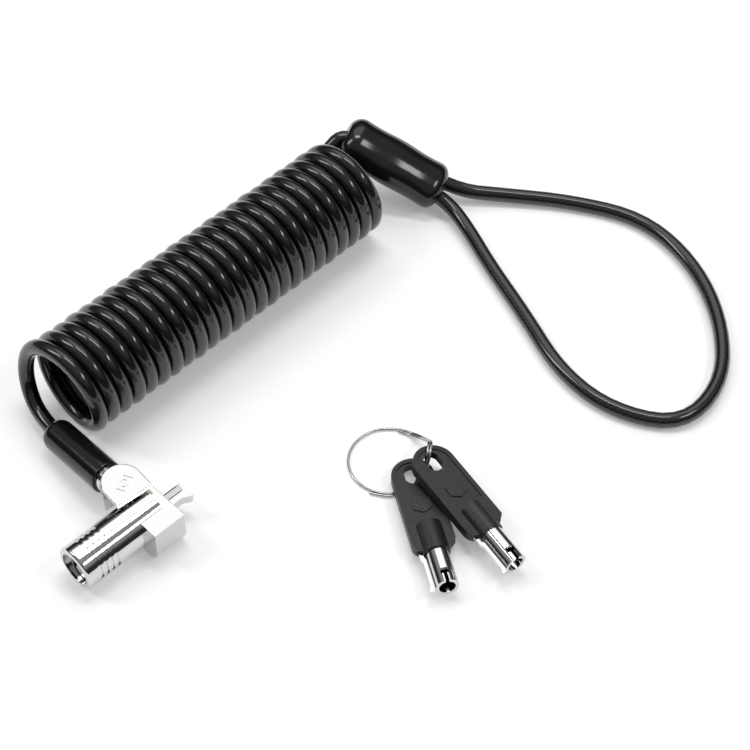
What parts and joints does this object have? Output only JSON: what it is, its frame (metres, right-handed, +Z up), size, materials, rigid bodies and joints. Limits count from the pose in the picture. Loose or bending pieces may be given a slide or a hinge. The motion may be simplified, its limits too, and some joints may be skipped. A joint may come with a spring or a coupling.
{
  "type": "laptop cable lock",
  "caption": "Laptop lock: keyed barrel head with a hooked slot tip, self-coiling jacketed steel cable with an end loop, and tubular keys on a split ring.",
  "frame": {"origin": "centre of the hooked tip, in the nose face that meets the laptop", "axes": "+X out of the nose along the barrel, +Y towards the side where the cable leaves, +Z up"},
  "size_m": [0.2105, 0.1444, 0.0317],
  "materials": {
    "bright_nickel": "polished",
    "satin_steel": "satin",
    "pin_brass": "turned",
    "cable_jacket": "glossy",
    "sleeve_black": "glossy",
    "bow_black": "matte, textured panel"
  },
  "bodies": {
    "head": {"lock_housing": "bright_nickel", "lock_barrel": "bright_nickel", "pin_stator": "satin_steel", "driver_pins": "pin_brass", "pin_springs": "satin_steel", "hook_pins": "satin_steel"},
    "plug": {"key_plug": "satin_steel", "key_pins": "pin_brass", "drive_tube": "satin_steel"},
    "blade": {"locking_blade": "satin_steel"},
    "hook_l": {"left_hook": "bright_nickel"},
    "hook_r": {"right_hook": "bright_nickel"},
    "cable": {"bracket_yoke": "bright_nickel", "bracket_cap": "bright_nickel", "hinge_pin": "satin_steel", "cable_ferrule": "satin_steel", "strain_sleeve": "sleeve_black", "cable_lead": "cable_jacket", "cable_coil": "cable_jacket", "cable_tail": "cable_jacket", "cable_loop": "cable_jacket", "loop_sleeve": "sleeve_black", "loop_crimps": "satin_steel"},
    "ring": {"split_ring": "satin_steel"},
    "key_1": {"key_1_bow": "bow_black", "key_1_tube": "bright_nickel", "key_1_fin": "bright_nickel"},
    "key_2": {"key_2_bow": "bow_black", "key_2_tube": "bright_nickel", "key_2_fin": "bright_nickel"}
  },
  "joints": [
    {"name": "bracket_swing", "type": "hinge", "parent": "cable", "child": "head", "pos_m": [-0.0062, 0.0102, 0], "axis": [0, 0, 1], "range_deg": [-10, 10]},
    {"name": "plug_turn", "type": "hinge", "parent": "head", "child": "plug", "pos_m": [-0.02, 0, 0], "axis": [1, 0, 0], "range_deg": [0, 90]},
    {"name": "blade_draw", "type": "slide", "parent": "head", "child": "blade", "axis": [-1, 0, 0], "range_m": [0, 0.0071]},
    {"name": "left_hook_close", "type": "hinge", "parent": "head", "child": "hook_l", "pos_m": [-0.002, 0.0023, 0], "axis": [0, 0, -1], "range_deg": [0, 5.2]},
    {"name": "right_hook_close", "type": "hinge", "parent": "head", "child": "hook_r", "pos_m": [-0.002, -0.0023, 0], "axis": [0, 0, 1], "range_deg": [0, 5.2]},
    {"name": "keys_lift_off", "type": "slide", "parent": "cable", "child": "ring", "axis": [0, 0, 1], "range_m": [0, 0.1]},
    {"name": "key_1_swing", "type": "hinge", "parent": "ring", "child": "key_1", "pos_m": [0.06257, -0.04007, 0], "axis": [0, 0, 1], "range_deg": [0, 4]},
    {"name": "key_2_swing", "type": "hinge", "parent": "ring", "child": "key_2", "pos_m": [0.0584, -0.0409, 0], "axis": [0, 0, 1], "range_deg": [-4, 0]}
  ],
  "couplings": [
    {"joint": "blade_draw", "follows": "plug_turn", "m_per_rad": 0.004456},
    {"joint": "left_hook_close", "follows": "plug_turn", "ratio": 0.0567},
    {"joint": "right_hook_close", "follows": "plug_turn", "ratio": 0.0567}
  ]
}
